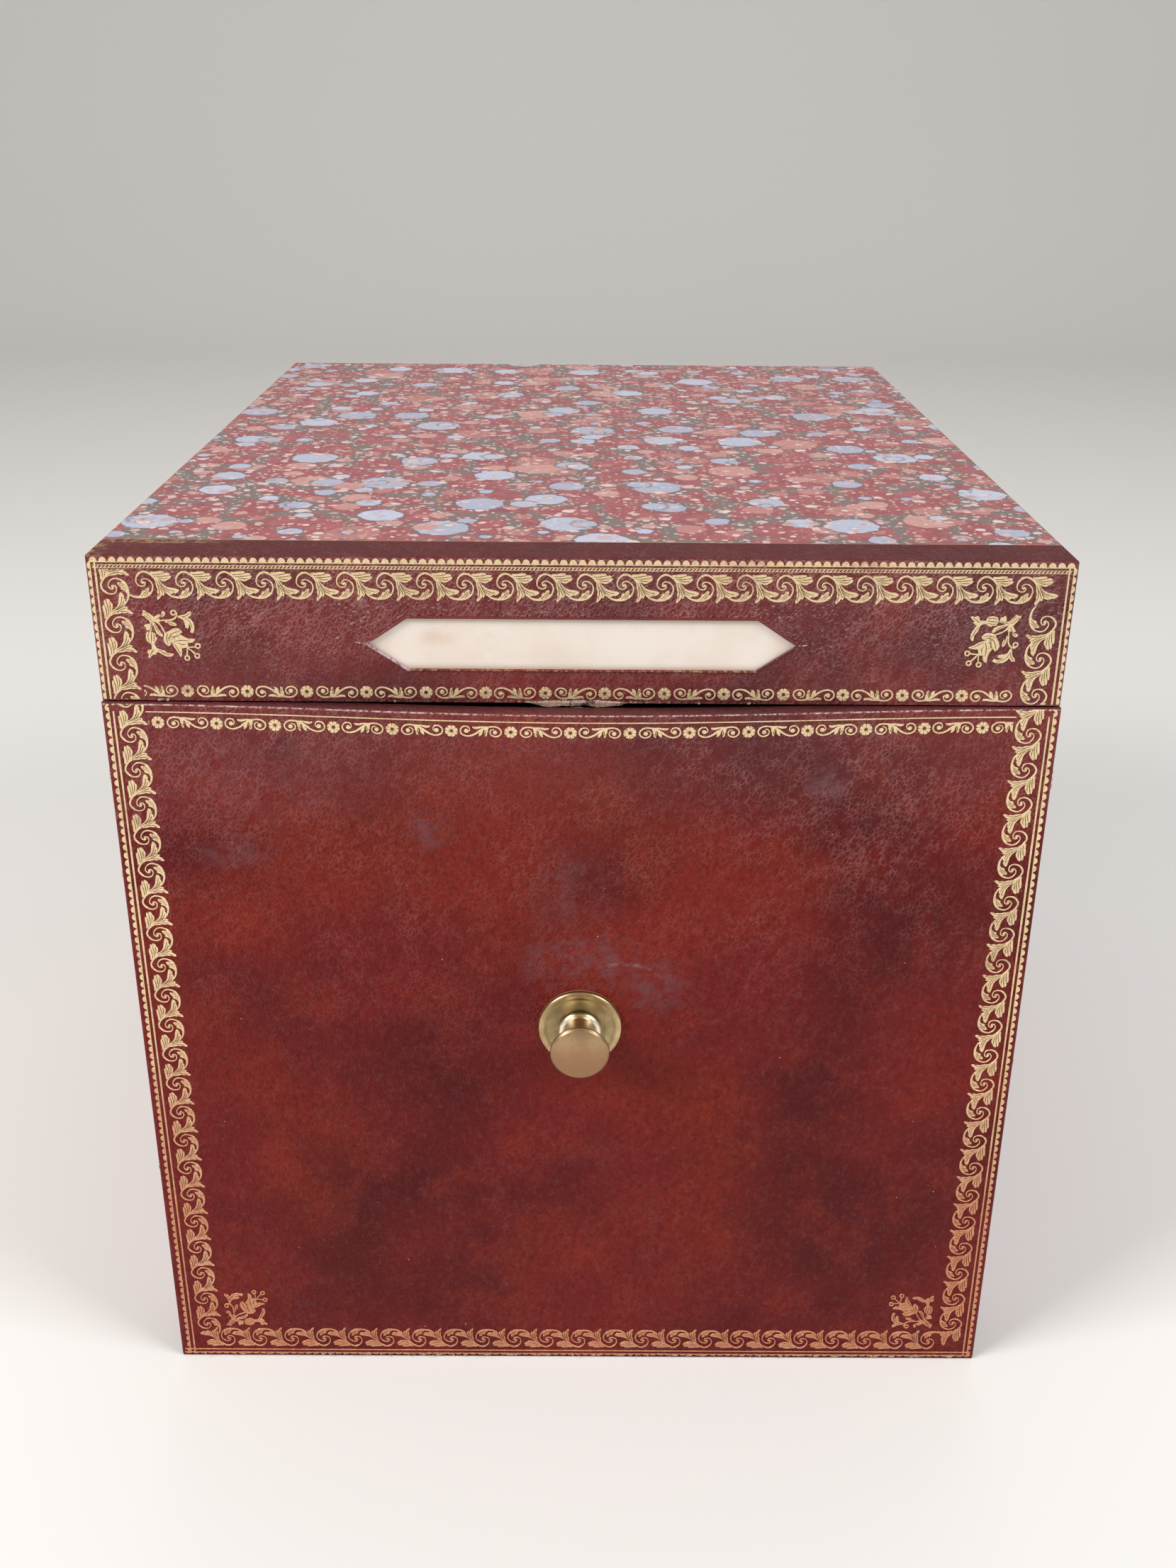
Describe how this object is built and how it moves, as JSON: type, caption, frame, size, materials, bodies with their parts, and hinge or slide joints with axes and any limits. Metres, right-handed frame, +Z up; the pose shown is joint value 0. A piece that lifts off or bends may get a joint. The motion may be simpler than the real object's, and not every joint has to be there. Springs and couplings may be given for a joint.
{
  "type": "stationery box",
  "caption": "Tall stationery box of covered board: a leather-faced lid hinged along the back, a fall front with a turned brass knob, and marbled paper elsewhere.",
  "frame": {"origin": "on the underside of the base, at the middle of the footprint measured from the face of the fall front to the paper on the back", "axes": "+Z up towards the lid, -Y out of the leather front, +X to the right of someone facing the front"},
  "size_m": [0.27, 0.3542, 0.28],
  "materials": {
    "red_leather": "satin, pebbled grain, worn edges, gilt tooling",
    "marbled_paper": "glazed, marbled in crimson, grey and salmon spots",
    "lining_paper": "matte",
    "label_card": "matte, stained",
    "aged_brass": "satin, tarnished",
    "board": "matte"
  },
  "bodies": {
    "case": {"base_board": "board", "left_board": "board", "right_board": "board", "back_board": "board", "left_throat": "board", "right_throat": "board", "back_throat": "board", "case_paper": "marbled_paper", "base_paper": "lining_paper", "case_lining": "lining_paper", "floor_lining": "lining_paper", "left_edge_leather": "red_leather", "right_edge_leather": "red_leather", "front_hinge_leather": "red_leather", "lid_hinge_lower": "red_leather"},
    "lid": {"lid_top_board": "board", "lid_front_board": "board", "lid_left_board": "board", "lid_right_board": "board", "lid_back_board": "board", "lid_paper": "marbled_paper", "lid_leather": "red_leather", "label_card": "label_card", "lid_lining": "lining_paper", "lid_hinge_upper": "red_leather"},
    "front": {"front_board": "board", "front_leather": "red_leather", "front_liner": "board", "front_lining": "lining_paper", "knob_rose": "aged_brass", "knob": "aged_brass", "knob_washer": "aged_brass", "knob_nut": "aged_brass"}
  },
  "joints": [
    {"name": "lid_hinge", "type": "hinge", "parent": "case", "child": "lid", "pos_m": [0, 0.1689, 0.23785], "axis": [-1, 0, 0], "range_deg": [0, 110]},
    {"name": "front_hinge", "type": "hinge", "parent": "case", "child": "front", "pos_m": [0, -0.1685, 0.0003], "axis": [1, 0, 0], "range_deg": [0, 82]}
  ]
}
